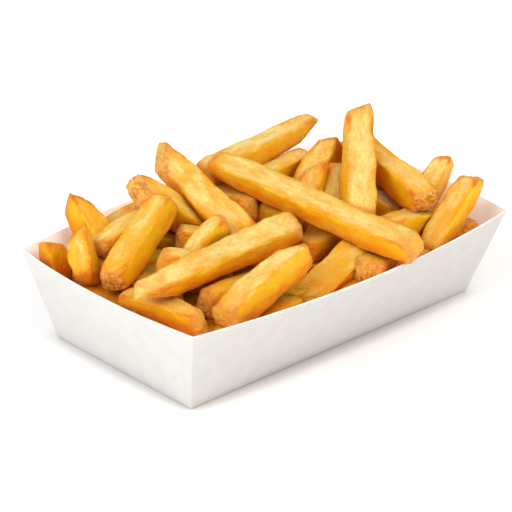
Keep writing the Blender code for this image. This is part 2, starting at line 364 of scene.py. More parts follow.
        # Satin where it is dry, and oilier where it is buried
        satin = put(RANGE, {"Value": on.patches, "From Min": 0.3, "From Max": 0.7,
                            "To Min": 0.42, "To Max": 0.60})
        satin = put(MATH, {0: on.buried, 1: -0.16, 2: satin}, **MULTIPLY_ADD)
        clear = put(MATH, {0: on.crisp, 1: -0.55, 2: 0.85}, **MULTIPLY_ADD)
        shader = put(SURFACE, {
            "Base Color": crust, "Roughness": satin, "Normal": self.bumps(put, on),
            "IOR": 1.45, "Specular IOR Level": 0.3, "Subsurface Weight": clear,
            "Subsurface Scale": self.light_depth * MM, "Subsurface Radius": (1.0, 0.55, 0.04),
        })
        put(OUTPUT, {"Surface": shader})
        return material


@dataclass(frozen=True)
class FoldingBoard:
    """Bleached paperboard, calendered on its outer face.

    It looks matt and almost white, with the faint cloudiness and short fibres of pressed pulp.
    Its inner faces can take a painted glow, standing in for light that soaks through.
    Sizes are in millimetres.
    """

    name: str = "bleached_paperboard"
    face: str = "#D9D7D4"
    cloud: str = "#D5D2CF"
    painted_glow: str = "#FFF0E2"
    painted_glow_strength: float = 0.0
    fibre_size: float = 0.7
    cloud_size: float = 6.0
    relief: float = 0.04

    def material(self) -> Material:
        """Builds the board from clouding and fibres, with a painted glow where one is set."""
        material, put = new_material(self.name)
        place = put(COORDINATES, output="Object")
        clouds = put(NOISE, {"Vector": place, "Scale": 1 / (self.cloud_size * MM), "Detail": 4.0})
        fibres = put(NOISE, {"Vector": place, "Scale": 1 / (self.fibre_size * MM),
                             "Detail": 3.0, "Distortion": 0.8})
        both = put(MATH, {0: fibres, 1: 0.5, 2: clouds}, **MULTIPLY_ADD)
        cloudy = put(RANGE, {"Value": both, "From Min": 0.6, "From Max": 0.9})
        colour = put(MIX, {0: cloudy, 6: linear(self.face), 7: linear(self.cloud)}, **MIX_COLOURS)
        bump = put(BUMP, {"Height": fibres, "Strength": 0.3, "Distance": self.relief * MM})
        # Painted glow: emission standing in for light that soaks through the board
        shader = put(SURFACE, {
            "Base Color": colour, "Roughness": 0.62, "Normal": bump, "IOR": 1.5,
            "Emission Color": linear(self.painted_glow), "Emission Strength": self.painted_glow_strength,
        })
        put(OUTPUT, {"Surface": shader})
        return material


@dataclass(frozen=True)
class StudioPaper:
    """Seamless white paper, matt and even, lit from below away from the tray.

    Its sizes are in metres.
    """

    name: str = "seamless_white_paper"
    face: str = "#FAFAFA"
    contact_shade: str = "#BDB9B5"
    contact: float = 0.010
    glow_near: float = 0.06
    glow: float = 0.6
    glow_from: float = 0.06
    glow_to: float = 0.30

    def material(self) -> Material:
        """Builds the floor, with a painted contact shadow under the tray, plain near it and glowing
        further out.
        """
        material, put = new_material(self.name)
        away = put("ShaderNodeVectorMath", {0: put(COORDINATES, output="Object")},
                   output="Value", operation="LENGTH")
        glow = put(RANGE, {"Value": away, "From Min": self.glow_from, "From Max": self.glow_to,
                           "To Min": self.glow_near, "To Max": self.glow})
        # Painted contact shadow: darker where the occlusion test finds the tray close
        under = put(OCCLUSION, {"Distance": self.contact}, output="AO", samples=4)
        near = put(RANGE, {"Value": under, "From Min": 0.35, "From Max": 0.80})
        colour = put(MIX, {0: near, 6: linear(self.contact_shade), 7: linear(self.face)}, **MIX_COLOURS)
        shader = put(SURFACE, {
            "Base Color": colour, "Roughness": 0.9, "Specular IOR Level": 0.1,
            "Emission Color": (1, 1, 1, 1), "Emission Strength": glow,
        })
        put(OUTPUT, {"Surface": shader})
        return material


# -------------------- shared by the pieces


def show(thing: Object) -> None:
    """Puts an object in the scene."""
    bpy.context.scene.collection.objects.link(thing)


def cube_grid(across: int, up: int) -> bmesh.types.BMesh:
    """Makes a cube from -1 to 1 with evenly cut faces.

    Args:
        across: Cuts along X and along Y.
        up: Cuts along Z.

    Returns:
        The cube.
    """
    bm = bmesh.new()
    bmesh.ops.create_cube(bm, size=2.0)
    for cuts, upright in ((across, False), (up, True)):
        edges = [e for e in bm.edges if (abs(e.verts[0].co.z - e.verts[1].co.z) > 1) == upright]
        bmesh.ops.subdivide_edges(bm, edges=edges, cuts=cuts, use_grid_fill=True)
    return bm


# -------------------- tray


@dataclass
class Tray:
    """The folded tray: flat base, four flared walls that bow outwards.

    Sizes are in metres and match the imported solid.
    """

    base_length: float = 0.160
    base_width: float = 0.080
    rim_length: float = 0.180
    rim_width: float = 0.102
    height: float = 0.0387
    long_bow: float = 0.0085
    short_bow: float = 0.0045
    board: float = 0.0008
    fold_radius: float = 0.0007
    trimmed: float = 0.00012
    clearance: float = 0.0003
    past_rim: float = 0.0006
    cuts_across: int = 47
    cuts_up: int = 9

    def halves(self, share: float | Array, inset: float) -> tuple:
        """Half the tray's length and width at a share of its height."""
        length = self.base_length + (self.rim_length - self.base_length) * share
        width = self.base_width + (self.rim_width - self.base_width) * share
        return length / 2 - inset, width / 2 - inset

    def flare(self, x: float, y: float, level: float, inset: float) -> Vector:
        """Places a point of a unit square at a level of the tray.

        Args:
            x: From -1 to 1, along the tray.
            y: From -1 to 1, across it.
            level: Height in metres.
            inset: How far inside the outer face, in metres.

        Returns:
            The point, in metres.
        """
        share = level / self.height
        half_length, half_width = self.halves(share, inset)
        bow = max(share, 0.0)
        return Vector((x * (half_length + self.short_bow * bow * (1 - y * y)),
                       y * (half_width + self.long_bow * bow * (1 - x * x)), level))

    def hold_inside(self, points: Array) -> Array:
        """Draws in the points that would pass through a wall or the floor.

        Args:
            points: Places in metres, one row each.

        Returns:
            The places, all of them inside the walls or above the rim.
        """
        inset = self.board + self.clearance
        held = np.clip(points, CAD_BOX[0], CAD_BOX[1])
        held[:, 2] = np.maximum(held[:, 2], inset)
        share = held[:, 2] / self.height
        half_length, half_width = self.halves(share, inset)
        x = held[:, 0] / half_length
        y = held[:, 1] / half_width
        for _ in range(4):
            bow_x = self.short_bow * share * (1 - np.clip(y, -1, 1) ** 2)
            bow_y = self.long_bow * share * (1 - np.clip(x, -1, 1) ** 2)
            x = held[:, 0] / (half_length + bow_x)
            y = held[:, 1] / (half_width + bow_y)
        low = held[:, 2] < self.height + self.past_rim
        for axis, reach in ((0, x), (1, y)):
            over = low & (np.abs(reach) > 1)
            held[over, axis] /= np.abs(reach[over])
        return held

    def build(self, finish: FoldingBoard) -> Object:
        """Folds the tray as one shell of board.

        Args:
            finish: The board that it is made of.

        Returns:
            The tray's object.
        """
        bm = cube_grid(self.cuts_across, self.cuts_up)
        bmesh.ops.delete(bm, geom=[f for f in bm.faces if f.normal.z > 0.5], context="FACES")
        for vert in bm.verts:
            level = (vert.co.z + 1) / 2 * self.height
            vert.co = self.flare(vert.co.x, vert.co.y, level, 0.0)
        folds = [e for e in bm.edges if e.is_manifold and e.calc_face_angle() > math.radians(30)]
        bmesh.ops.bevel(bm, geom=folds, offset=self.fold_radius, segments=3, profile=0.5,
                        affect="EDGES")
        mesh = bpy.data.meshes.new("tray")
        bm.to_mesh(mesh)
        bm.free()
        tray = bpy.data.objects.new("tray", mesh)
        show(tray)
        shell = tray.modifiers.new("board", "SOLIDIFY")
        shell.thickness = self.board
        shell.use_even_offset = True
        trim = tray.modifiers.new("trimmed_edge", "BEVEL")
        trim.width = self.trimmed
        trim.segments = 2
        trim.limit_method = "ANGLE"
        trim.angle_limit = math.radians(50)
        # The inner faces take a lighter, warmer copy of the board with a painted glow, standing in for
        # the light on them
        inner_painted_light = replace(finish, name="paperboard_inner_painted_light", face="#FBF6EE", cloud="#F7F0E5",
                        painted_glow_strength=0.18)
        # The rim takes a lighter copy of the board, a painted highlight
        cut = replace(finish, name="paperboard_rim_painted_highlight", face="#FCFBF9", cloud="#F8F6F3")
        for board in (finish, inner_painted_light, cut):
            tray.data.materials.append(board.material())
        shell.material_offset = 1
        shell.material_offset_rim = 2
        tray.data.shade_smooth()
        tray.data.set_sharp_from_angle(angle=math.radians(40))
        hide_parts("carton")
        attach(tray, BODY)
        LOG.info("tray: %d faces before its shell", len(mesh.polygons))
        return tray


# -------------------- fries


@dataclass(frozen=True)
class Cut:
    """A flat cut across a fry's end.

    side, up and out give the way it faces, out being along the fry, and
    reach is how far it stands beyond the end, in millimetres.
    """

    side: float
    up: float
    out: float
    reach: float = 0.0


@dataclass(frozen=True)
class Skin:
    """How one fry is fried.

    tone runs from below 0, pale, to above 0, deep amber. start and end say
    how crisp each end is, from 0 to 1. soften is the number of rounds that
    ease its edges, wrinkle the strength of its relief, and bend how far its
    middle sags, in millimetres.
    """

    tone: float = 0.0
    start: float = 0.5
    end: float = 0.5
    soften: int = 7
    wrinkle: float = 1.0
    bend: float = 0.0


@dataclass(frozen=True)
class Fry:
    """One fry from start to end, in millimetres.

    width and depth are given at both ends, and roll in degrees.
    """

    name: str
    start: Triple
    end: Triple
    width: Pair = (11, 11)
    depth: Pair = (11, 11)
    roll: float = 0.0
    start_cuts: tuple[Cut, ...] = ()
    end_cuts: tuple[Cut, ...] = ()
    skin: Skin = Skin()

    def length(self) -> float:
        """The fry's length before its ends are cut."""
        return (Vector(self.end) - Vector(self.start)).length

    def axes(self) -> Array:
        """The side, up and along directions, as the rows of a matrix."""
        axis = (Vector(self.end) - Vector(self.start)).normalized()
        level_side = axis.cross(Vector((0, 0, 1))).normalized()
        level_up = level_side.cross(axis)
        roll = math.radians(self.roll)
        side = level_side * math.cos(roll) - level_up * math.sin(roll)
        up = level_up * math.cos(roll) + level_side * math.sin(roll)
        return np.array([side, up, axis])

    def cut_planes(self) -> list[tuple[Array, float, float]]:
        """Lists the cuts as planes in the fry's own frame.

        Returns:
            Each plane's normal, its distance from the start, and how crisp
            its face is.
        """
        planes = []
        for cuts, level, way, crisp in (
            (self.start_cuts, 0.0, -1.0, self.skin.start),
            (self.end_cuts, self.length(), 1.0, self.skin.end),
        ):
            for cut in cuts:
                normal = np.array([cut.side, cut.up, cut.out * way])
                normal /= np.linalg.norm(normal)
                planes.append((normal, normal[2] * level + cut.reach, crisp))
            planes.append((np.array([0.0, 0.0, way]), max(way * level, 0.0), crisp))
        return planes


class Layer(Enum):
    """The layers of the heap, each one a joined piece."""

    LONG = "long_fries"
    SHORT = "short_fries"
    MIDDLE = "middle_fries"
    BACK = "back_fries"
    DEEP = "deep_fries"


# The fries one by one, from the top layer down
HEAP: dict[Layer, tuple[Fry, ...]] = {}
HEAP[Layer.LONG] = (
    Fry("left_long", (-96.9, -20.1, 44.6), (-1.5, -16, 47), (10.5, 12.6), (8, 9.5), 14,
        start_cuts=(Cut(-1, 0.3, 0.7, -1.2), Cut(0, -1, 0.33, -3.7)),
        end_cuts=(Cut(0.9, 0.8, 0.9, 2.2),), skin=Skin(-0.15, 0.7, 0.75, 5, 1, 0.4)),
    Fry("front_long", (-5, 30, 61), (22, -62, 44.6), (12, 13.6), (7.5, 9), 12,
        start_cuts=(Cut(0, -0.4, 1, -1),), end_cuts=(Cut(-0.15, 0.95, 1), Cut(0, 0, 1, -1)),
        skin=Skin(-0.02, 0.6, 0.55, 6, 1.2, 0.5)),
    Fry("tall", (60.5, 10.5, 74.5), (23, -27, 46), (12.5, 13.5), (10.8, 11.5), -15,
        start_cuts=(Cut(0.75, 0.1, 1, -2.6), Cut(0.9, -0.2, 0.3, 2.5), Cut(-0.9, 0, 0.25, 4)),
        skin=Skin(-0.2, 0.4, 0.3, 6, 0.7)),
    Fry("back_leaning", (-22, 53, 66.3), (-23.3, -10, 45), (12.5, 13.4), (10.5, 10.5), 27,
        start_cuts=(Cut(1, 0.95, 1, -6.2),), skin=Skin(0.1, 0.7, 0.3, 6, 0.8)),
    Fry("back_long", (-7, 33, 53.5), (60, 36, 58.3), (12.5, 9.5), (10, 9.5),
        end_cuts=(Cut(0, -1, 0.5, -2.2), Cut(0, 0, 1, -0.5)), skin=Skin(-0.12, 0.3, 0.6)),
    Fry("right_propped", (61, 11, 57.1), (53, -39, 48), (9.5, 12.3), (12, 11.5), 7,
        end_cuts=(Cut(0.1, -0.2, 1, -1.5),), skin=Skin(0.15, 0.3, 0.9, 5)),
    Fry("front_thick", (-67, -43, 35), (-20, -38, 49), (12.5, 11), (12, 11.5), -5,
        start_cuts=(Cut(0.2, 0.2, 1, -0.5),), end_cuts=(Cut(-1, 0.1, 0.9, -2),),
        skin=Skin(-0.1, 0.5, 0.4, 7, 1.2)),
)
HEAP[Layer.SHORT] = (
    Fry("left_propped", (-83.5, 3.5, 39), (-41, 18, 58.5), (11.5, 10), (10.7, 10.7), -6,
        start_cuts=(Cut(0.15, -0.1, 1, -0.5),), end_cuts=(Cut(0, 0.26, 1, -0.8),),
        skin=Skin(0.22, 0.8, 0.6, 5, 1.5)),
    Fry("left_steep", (-62, 55.6, 54), (-59.5, 27.3, 31), (9, 14), (10.5, 12), -5,
        start_cuts=(Cut(-0.95, -0.15, 1, -4.2), Cut(0.3, -0.6, 1, -2.2)), skin=Skin(0.48, 0.4, 0.3)),
    Fry("left_corner_steep", (-75, 32.9, 50.8), (-85, 15.9, 34.8), (10, 9.5), (11, 11.5), 30,
        start_cuts=(Cut(0.63, -0.84, 1, -5.4),), end_cuts=(Cut(0.3, 0.3, 1),),
        skin=Skin(0.45, 0.5, 0.3, 9)),
    Fry("left_corner_low", (-82.2, 44.3, 46.5), (-78.5, 36.9, 20.1), (11, 12), (7.5, 9), 20,
        start_cuts=(Cut(-0.55, -0.15, 1, -4.1),), skin=Skin(0.12, 0.4, 0.3, 10)),
    Fry("back_square", (-48.9, 33.8, 61.3), (-24, 12, 41), (12, 12), (10.3, 11), 10,
        start_cuts=(Cut(0.67, 0.06, 1, -3.5),), skin=Skin(0.1, 0.9, 0.3, 5, 0.9)),
    Fry("right_behind_tall", (51, 15, 60), (27, 8, 43), (10, 13), (12, 12),
        start_cuts=(Cut(0.45, 0.1, 1, -1.2),), skin=Skin(0.1, 0.5, 0.3, 8)),
    Fry("under_tall", (33, 4, 61), (20, -1, 47), (9, 12), (10, 12),
        start_cuts=(Cut(0.9, -0.1, 1, -4.3),), skin=Skin(-0.05, 0.7, 0.3, 6)),
    Fry("right_back_short", (62, -26, 39), (83, -20.6, 54.8), (10.5, 9.5), (9, 8),
        end_cuts=(Cut(-0.5, 0, 1, -1),), skin=Skin(-0.35, 0.3, 0.4)),
    Fry("right_steep", (47, -46, 30), (79, -41.1, 56.2), (12, 9.8), (10.5, 8.5),
        end_cuts=(Cut(-0.25, 0.3, 1, -2.2),), skin=Skin(0.1, 0.3, 0.5)),
    Fry("middle_short", (-51.5, -7, 43), (-30, -4.5, 53.5), (9, 9.5), (9, 9), -8,
        end_cuts=(Cut(0.3, -0.1, 1, -0.5), Cut(-0.6, 0, 1, 0.5)), skin=Skin(0, 0.3, 0.5, 8, 1.2)),
    Fry("near_corner", (-80.5, -1.5, 32), (-73.2, -39.5, 33.5), (11, 10), (12, 12),
        end_cuts=(Cut(-0.3, 0.35, 1, -0.8),), skin=Skin(-0.1, 0.3, 0.5, 8, 1.2)),
    Fry("front_low", (-24, -43, 26), (17, -36, 40), (13.5, 13), (10, 10), 15,
        skin=Skin(0.2, 0.4, 0.3, 6, 1.8)),
)
HEAP[Layer.MIDDLE] = (
    Fry("left_under", (-71, 25, 42), (-46, 24, 50), (10, 10), (9, 9), start_cuts=(Cut(0, 0, 1, -0.5),)),
    Fry("left_back_under", (-52, 31.5, 45), (-18, 35, 44.5), (11, 11), (10, 10),
        start_cuts=(Cut(-0.5, 0.3, 1),)),
    Fry("middle_gap", (-3, 31, 45), (-5.2, 6, 46.5)),
    Fry("middle_gap_low", (3, 9, 43), (13, -8, 40)),
    Fry("back_gap", (14, 22, 48), (47, 26, 49), (10, 10), (9, 9)),
    Fry("under_tall_low", (41, 1, 55), (26, -9, 43), (10, 10), (10, 10)),
    Fry("right_corner_low", (76, -45, 33), (65, -43, 30), (10, 10), (10, 10),
        skin=Skin(0.1, 0.8, 0.5, 7, 1.5)),
    Fry("right_low", (29, -36, 43), (64, -33, 36), (11, 11), (10, 10)),
    Fry("right_gap", (47, -5, 43), (54, -21, 36), (11, 11), (10, 10)),
    Fry("left_gap", (-41, 12, 43), (-30, -3, 41), skin=Skin(0.15, 0.9, 0.3, 6, 1.2)),
    Fry("left_gap_low", (-64, -3, 45), (-49, -15, 40)),
    Fry("near_gap", (-64.5, -29, 36), (-30, -27, 34), start_cuts=(Cut(-0.2, 0.3, 1, -0.5),),
        skin=Skin(0.25, 0.7, 0.4, 8, 1.2)),
    Fry("front_gap", (4.5, -49.5, 33.5), (29, -40, 34.5), (13.5, 12), (12.5, 11.5), 8,
        start_cuts=(Cut(0.2, 0.25, 1, -0.8),), skin=Skin(0.12, 0.7, 0.4, 6, 1.5)),
    Fry("front_gap_right", (20, -30, 31), (24.5, -46, 31), (10, 10), (10, 10),
        skin=Skin(0.25, 0.5, 0.6)),
    Fry("front_gap_deep", (-2, -20, 37), (27, -19, 38), (11, 11), (10, 10),
        skin=Skin(0.35, 0.4, 0.4, 8)),
)
HEAP[Layer.BACK] = (
    Fry("back_left_low", (-80, 41, 23), (-35, 43, 26), (12, 12), (11, 11)),
    Fry("back_left", (-46, 48, 33), (6, 50, 39), (12, 12), (11, 11), 5),
    Fry("back_right", (14, 44, 46), (64, 47, 34), (12, 12), (11, 11), -5),
    Fry("back_right_low", (24, 47.5, 30.5), (72, 41, 26), (12, 12), (11, 11)),
    Fry("right_back", (48, 26, 44), (82, 19, 46), (12, 12), (11, 11), 10),
    Fry("right_back_low", (82, 4, 35), (77, 33, 34), (12, 12), (11, 11)),
    Fry("right_end", (85, -13, 36), (62, 11, 42)),
    Fry("back_right_inner", (14, 33, 41), (52, 33, 39), (12, 12), (11, 11)),
    Fry("left_under_gap", (-72, 10, 33), (-36, -14, 33)),
    Fry("middle_under_gap", (-18, -14, 36), (-42, 30, 35)),
    Fry("right_under_gap", (20, 18, 38), (38, -14, 35)),
    Fry("right_under_gap_2", (44, 14, 43), (72, -14, 37)),
    Fry("left_under_low", (-66, -16, 30), (-72, 30, 33)),
)
# How fine each layer's meshes are, in millimetres
VOXELS = {
    Layer.LONG: 0.55, Layer.SHORT: 0.55, Layer.MIDDLE: 0.7, Layer.BACK: 0.7, Layer.DEEP: 1.1,
}


@dataclass
class FryCutter:
    """Cuts fries, softens them and gives them their crust's relief.

    Sizes are in millimetres, and amounts are how far the surface moves.
    """

    tray: Tray
    apart: float = 400.0
    crisp_reach: float = 1.5
    end_reach: float = 5.5
    edge_length: float = 0.6
    soften_rate: float = 0.75
    round_rounds: int = 60
    round_share: float = 0.85
    ridge_rounds: int = 10
    ridge_height: float = 0.16
    rim_rounds: int = 50
    rim_height: float = 0.9
    warp: float = 0.9
    warp_size: float = 17.0
    pucker: float = 0.20
    pucker_size: float = 4.0
    fine: float = 0.10
    fine_size: float = 1.8
    dent: float = 0.42
    dent_size: float = 6.5
    sink: float = 0.22
    spare: float = 0.5
    grooves: float = 0.55
    groove_size: float = 1.7
    pit: float = 0.9
    pit_size: float = 2.2
    pit_from: float = 0.12
    shaded_level: float = 46.0
    shaded_depth: float = 16.0
    light: Triple = (-0.22, 0.05, 1.0)

    def block(self, fry: Fry) -> Object:
        """Cuts the plain bar of one fry in its own frame.

        Args:
            fry: The fry to cut.

        Returns:
            An object whose mesh is in millimetres, along its own +Z.
        """
        length = fry.length()
        bm = bmesh.new()
        bmesh.ops.create_cube(bm, size=1.0)
        for vert in bm.verts:
            place = vert.co.z + 0.5
            width = fry.width[0] + (fry.width[1] - fry.width[0]) * place
            depth = fry.depth[0] + (fry.depth[1] - fry.depth[0]) * place
            vert.co = Vector((vert.co.x * width, vert.co.y * depth, place * length))
            vert.co.z += self.spare if place > 0.5 else -self.spare
        for normal, level, _ in fry.cut_planes():
            if abs(normal[2]) > 0.9999:
                continue
            bmesh.ops.bisect_plane(bm, geom=bm.verts[:] + bm.edges[:] + bm.faces[:],
                                   plane_co=Vector(normal * (level + self.spare)),
                                   plane_no=Vector(normal), clear_outer=True)
            bmesh.ops.edgeloop_fill(bm, edges=[e for e in bm.edges if e.is_boundary])
        bmesh.ops.recalc_face_normals(bm, faces=bm.faces)
        mesh = bpy.data.meshes.new(fry.name)
        bm.to_mesh(mesh)
        bm.free()
        return bpy.data.objects.new(fry.name, mesh)

    @staticmethod
    def relax(values: Array, edges: Array, rounds: int) -> Array:
        """Eases values on a mesh half way to their neighbours' mean.

        Args:
            values: One row for each point of the mesh.
            edges: Pairs of point numbers.
            rounds: How often.

        Returns:
            The eased values.
        """
        ends = np.concatenate((edges[:, 0], edges[:, 1]))
        others = np.concatenate((edges[:, 1], edges[:, 0]))
        count = np.bincount(ends, minlength=len(values))[:, None]
        eased = values.copy()
        for _ in range(rounds):
            total = np.stack([np.bincount(ends, weights=column, minlength=len(values))
                              for column in eased[others].T], axis=1)
            eased = 0.5 * eased + 0.5 * total / count
        return eased

    @staticmethod
    def normals(points: Array, quads: Array) -> Array:
        """Averages the faces' normals at each point."""
        across = points[quads[:, 2]] - points[quads[:, 0]]
        along = points[quads[:, 3]] - points[quads[:, 1]]
        faces = np.cross(across, along)
        total = np.stack([
            sum(np.bincount(quads[:, k], weights=faces[:, axis], minlength=len(points))
                for k in range(4))
            for axis in range(3)
        ], axis=1)
        return total / np.maximum(np.linalg.norm(total, axis=1, keepdims=True), 1e-12)

    def soften(self, fry: Fry, points: Array, edges: Array,
               quads: Array) -> tuple[Array, dict[str, Array]]:
        """Eases a fry's edges, most of all near its ends.

        Args:
            fry: The fry.
            points: Its remeshed bar, in its own frame.
            edges: Pairs of point numbers.
            quads: Four point numbers each.

        Returns:
            The eased points, and how crisp, edge-like and rim-like each is.
        """
        crisp = np.zeros(len(points))
        near_end = np.zeros(len(points))
        for normal, level, strength in fry.cut_planes():
            off = np.abs(level - points @ normal)
            crisp = np.maximum(crisp, strength * np.exp(-(off / self.crisp_reach) ** 2))
            near_end = np.maximum(near_end, np.exp(-(off / self.end_reach) ** 2))
        near_end = self.relax(near_end[:, None], edges, 3)
        step = (self.edge_length / mean_edge(points, edges)) ** 2
        rounds = max(2, round(fry.skin.soften * self.soften_rate * step))
        points = self.relax(points, edges, rounds)
        rounded = self.relax(points, edges, round(self.round_rounds * step))
        points = points + (rounded - points) * near_end * self.round_share
        normal = self.normals(points, quads)
        blurred = self.relax(points, edges, round(self.ridge_rounds * step))
        ridge = np.clip(((points - blurred) * normal).sum(axis=1) / self.ridge_height, 0, 1)
        blurred = self.relax(blurred, edges, round(self.rim_rounds * step))
        rim = ((points - blurred) * normal).sum(axis=1) / self.rim_height - 0.1
        return points, {
            "crisp": self.relax(crisp[:, None], edges, 2)[:, 0],
            "edge": ridge * (0.40 + 0.85 * near_end[:, 0]),
            "rim": np.clip(rim, 0, 1),
        }

    def lift(self, fry: Fry, place: Triple, crisp: float) -> float:
        """How far the crust's relief lifts one point.

        Args:
            fry: The fry.
            place: Where the point lies in the noise.
            crisp: How crisp it is.

        Returns:
            The lift.
        """
        x, y, z = place
        near = Vector((x, y, z * 0.7)) / self.pucker_size
        pucker = noise.noise(near) + 0.5 * abs(noise.noise(near * 2.1))
        grit = noise.noise(Vector(place) / self.fine_size)
        lift = (pucker * self.pucker * fry.skin.wrinkle
                + noise.noise(Vector(place) / self.dent_size) * self.dent + grit * self.fine)
        if crisp > 0.03:
            pit = max(0.0, noise.noise(Vector(place) / self.pit_size) - self.pit_from)
            groove = abs(noise.noise(Vector((x, y, z * 0.3)) / self.groove_size))
            lift += crisp * (groove * self.grooves - pit * self.pit + 2.0 * grit * self.fine)
        return lift

    def finish(self, fry: Fry, mesh: Mesh, shift: Vector) -> dict[str, Array]:
        """Softens one remeshed fry, gives it its relief and sets it in place.

        Args:
            fry: The fry.
            mesh: Its remeshed bar, in its own frame.
            shift: Where it lies in the noise, so that no two fries look alike.

        Returns:
            Its points in metres, its quads, and its values for the crust.
        """
        count = len(mesh.vertices)
        points = np.empty(count * 3)
        mesh.vertices.foreach_get("co", points)
        edges = np.empty(len(mesh.edges) * 2, int)
        mesh.edges.foreach_get("vertices", edges)
        quads = np.empty(len(mesh.loops), int)
        mesh.loops.foreach_get("vertex_index", quads)
        edges, quads = edges.reshape(-1, 2), quads.reshape(-1, 4)
        points, values = self.soften(fry, points.reshape(-1, 3), edges, quads)
        normal = self.normals(points, quads)

        places = points + np.array(shift)
        wave = np.array([noise.noise_vector(Vector(p) / self.warp_size) for p in places])
        lift = np.array([self.lift(fry, p, c) for p, c in zip(places, values["crisp"])])
        lift -= self.sink * (1 - values["rim"]) * (1 - 0.7 * values["crisp"])
        points = points + wave * self.warp + normal * lift[:, None]
        along = np.clip(points[:, 2] / fry.length(), 0, 1)
        points[:, 1] -= fry.skin.bend * 4 * along * (1 - along)

        axes = fry.axes()
        world = (points @ axes + np.array(fry.start)) * MM
        # Painted light and shade: how far each point faces the key light, how low it lies on its fry,
        # and how deep it lies in the heap
        facing = normal @ axes @ np.array(Vector(self.light).normalized())
        thickness = 0.5 * (np.array(fry.width) + np.array(fry.depth))
        half = 0.5 * (thickness[0] + (thickness[1] - thickness[0]) * along)
        above = (points[:, :2] @ axes[:2])[:, 2] / half
        buried = (self.shaded_level - world[:, 2] / MM) / self.shaded_depth
        return values | {
            "points": self.tray.hold_inside(world), "quads": quads, "grain": places,
            "painted_light_face": np.clip((facing - 0.50) / 0.30, 0, 1),
            "low": np.clip(0.5 - 0.6 * above, 0, 1),
            "tone": np.full(count, fry.skin.tone), "buried": np.clip(buried, 0, 1),
        }

    def cook(self, name: str, fries: tuple[Fry, ...], voxel: float, seed: int,
             finish: Material) -> Object:
        """Makes a layer's fries and joins them in one piece.

        Args:
            name: The piece's name.
            fries: The layer's fries.
            voxel: How fine their meshes are, in millimetres.
            seed: Where the layer's noise starts.
            finish: The crust's material.

        Returns:
            The joined piece.
        """
        dice = random.Random(seed)
        blocks = [self.block(fry) for fry in fries]
        for block in blocks:
            skin = block.modifiers.new("skin", "REMESH")
            skin.voxel_size = voxel
            show(block)
        bpy.context.view_layer.update()
        graph = bpy.context.evaluated_depsgraph_get()
        made = []
        for fry, block in zip(fries, blocks):
            mesh = bpy.data.meshes.new_from_object(block.evaluated_get(graph))
            shift = Vector([dice.uniform(-self.apart, self.apart) for _ in range(3)])
            made.append(self.finish(fry, mesh, shift))
            bpy.data.meshes.remove(mesh)
        for block in blocks:
            bpy.data.objects.remove(block)
        return join_pieces(name, made, finish)


def mean_edge(points: Array, edges: Array) -> float:
    """The mean length of a mesh's edges."""
    return float(np.linalg.norm(points[edges[:, 0]] - points[edges[:, 1]], axis=1).mean())


def join_pieces(name: str, made: list[dict[str, Array]], finish: Material) -> Object:
    """Joins meshes given as arrays in one object that stands for the heap.

    Args:
        name: The object's name.
        made: Points, quads and attributes of each mesh.
        finish: The material.

    Returns:
        The object, riding on the body.
    """
    starts = np.cumsum([0] + [len(m["points"]) for m in made[:-1]])
    points = np.concatenate([m["points"] for m in made])
    quads = np.concatenate([m["quads"] + at for m, at in zip(made, starts)])
    mesh = bpy.data.meshes.new(name)
    mesh.vertices.add(len(points))
    mesh.vertices.foreach_set("co", points.astype(np.float32).ravel())
    mesh.loops.add(quads.size)
    mesh.loops.foreach_set("vertex_index", quads.astype(np.int32).ravel())
    mesh.polygons.add(len(quads))
    mesh.polygons.foreach_set("loop_start", np.arange(0, quads.size, 4, dtype=np.int32))
    mesh.update(calc_edges=True)
    for key in FRY_VALUES:
        values = np.concatenate([m[key] for m in made])
        layer = mesh.attributes.new(key, "FLOAT", "POINT")
        layer.data.foreach_set("value", values.astype(np.float32))
    grain = np.concatenate([m["grain"] for m in made])
    layer = mesh.attributes.new("grain", "FLOAT_VECTOR", "POINT")
    layer.data.foreach_set("vector", grain.astype(np.float32).ravel())
    mesh.shade_smooth()
    mesh.materials.append(finish)
    piece = bpy.data.objects.new(name, mesh)
    show(piece)
    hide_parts("fries_heap")
    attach(piece, BODY)
    LOG.info("%s: %d faces", name, len(quads))
    return piece


